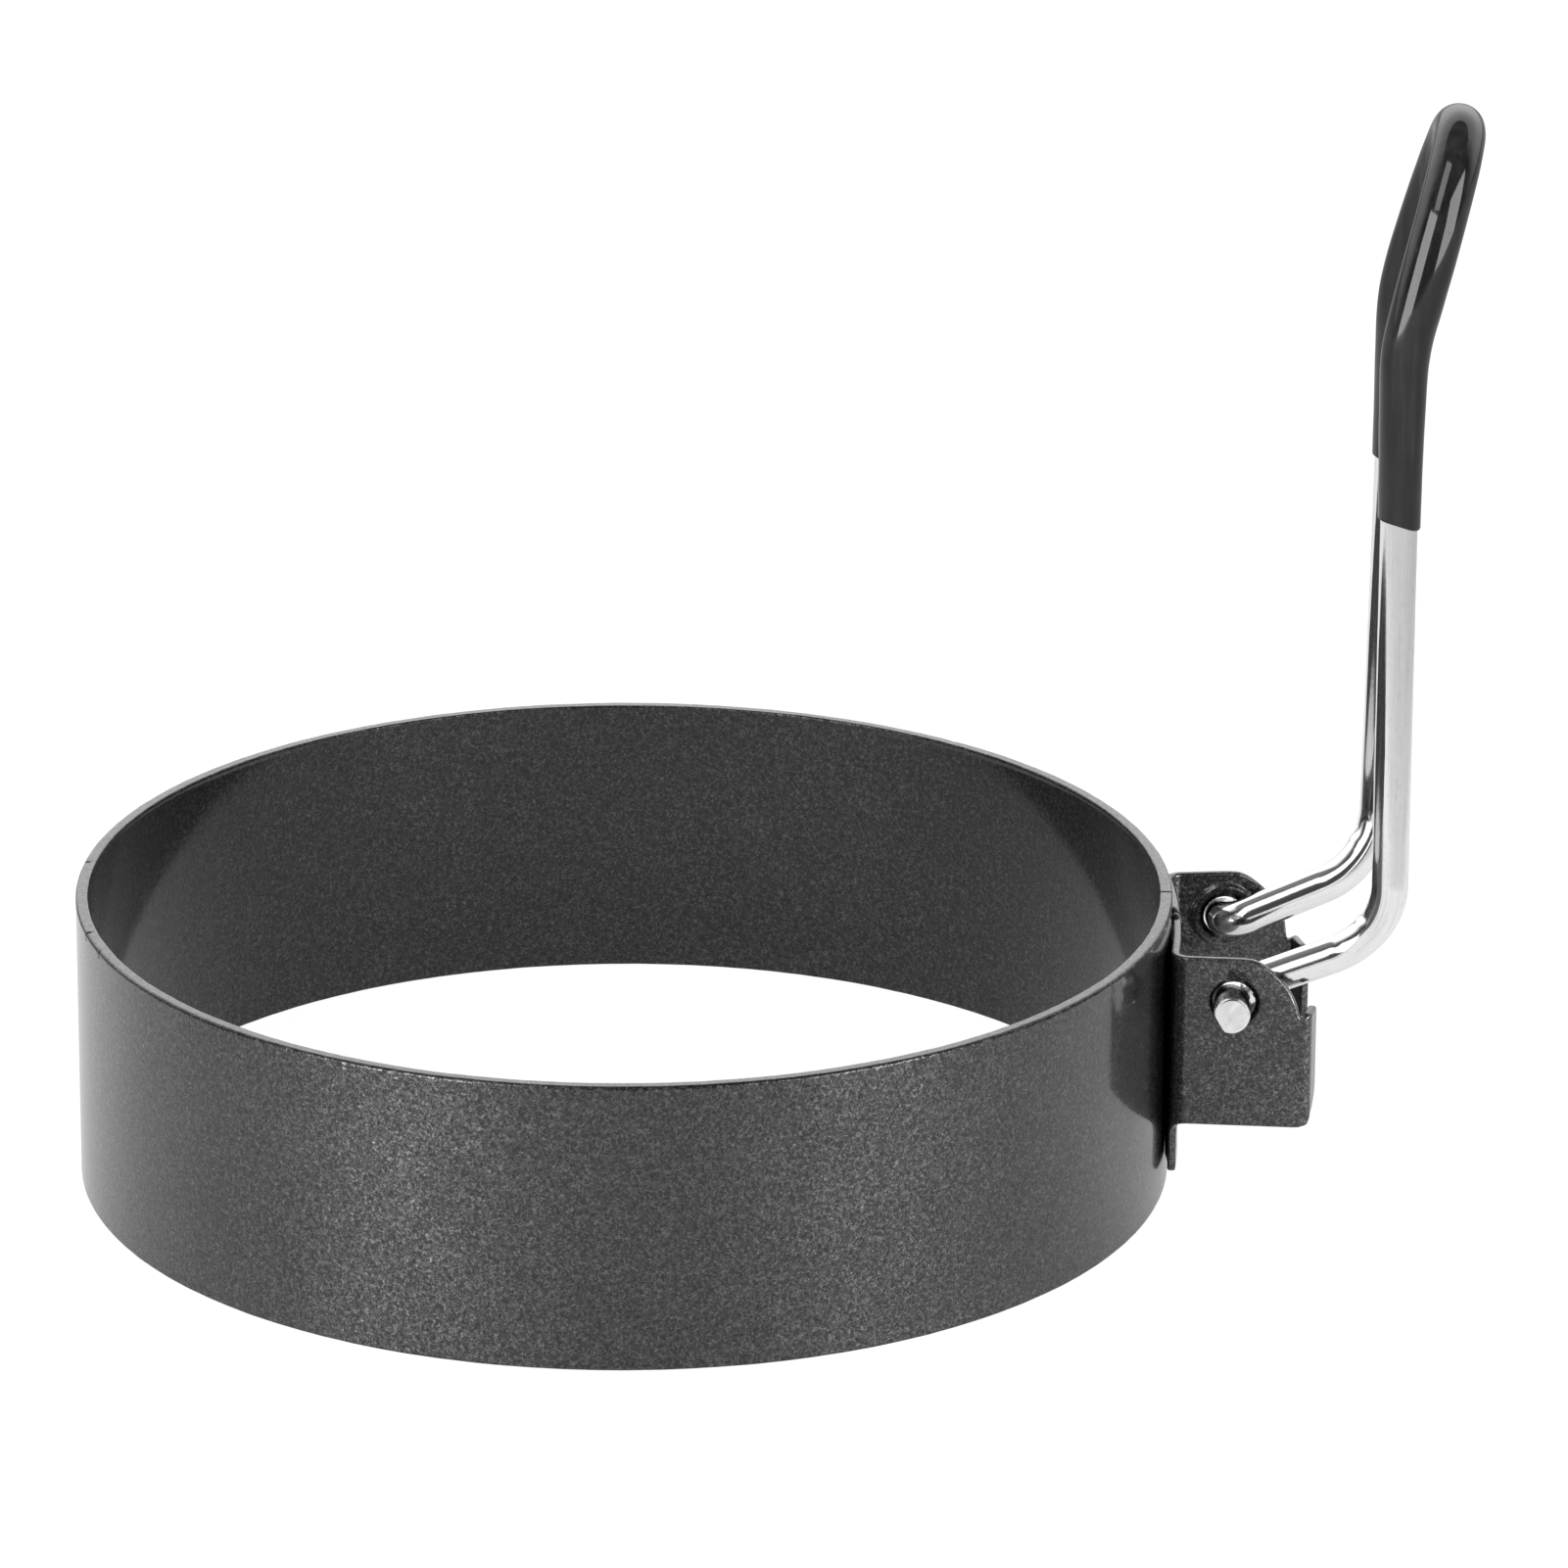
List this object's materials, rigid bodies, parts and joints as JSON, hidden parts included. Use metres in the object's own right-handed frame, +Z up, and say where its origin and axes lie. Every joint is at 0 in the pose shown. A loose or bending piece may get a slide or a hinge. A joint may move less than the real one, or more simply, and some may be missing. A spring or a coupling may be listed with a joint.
{
  "type": "egg ring",
  "caption": "Round steel band open at both ends for frying an egg, with a sheet bracket on its side and a folding wire handle with a dipped grip.",
  "frame": {"origin": "middle of the bounding box at its base, on the surface that the band stands on", "axes": "+X from the band towards its bracket and handle, +Z up"},
  "size_m": [0.095, 0.075, 0.0755],
  "materials": {
    "coated_steel": "dark grey non-stick coating with fine metallic flake, semi-gloss",
    "bright_wire": "bright polished wire",
    "black_vinyl": "dipped black vinyl, glossy"
  },
  "bodies": {
    "ring": {"ring_band": "coated_steel", "hinge_bracket": "coated_steel"},
    "handle": {"wire_handle": "bright_wire", "grip_sleeve": "black_vinyl"}
  },
  "joints": [
    {"name": "handle_fold", "type": "hinge", "parent": "ring", "child": "handle", "pos_m": [0.03151, 0, 0.0149], "axis": [0, -1, 0], "range_deg": [-15.5, 92]}
  ]
}
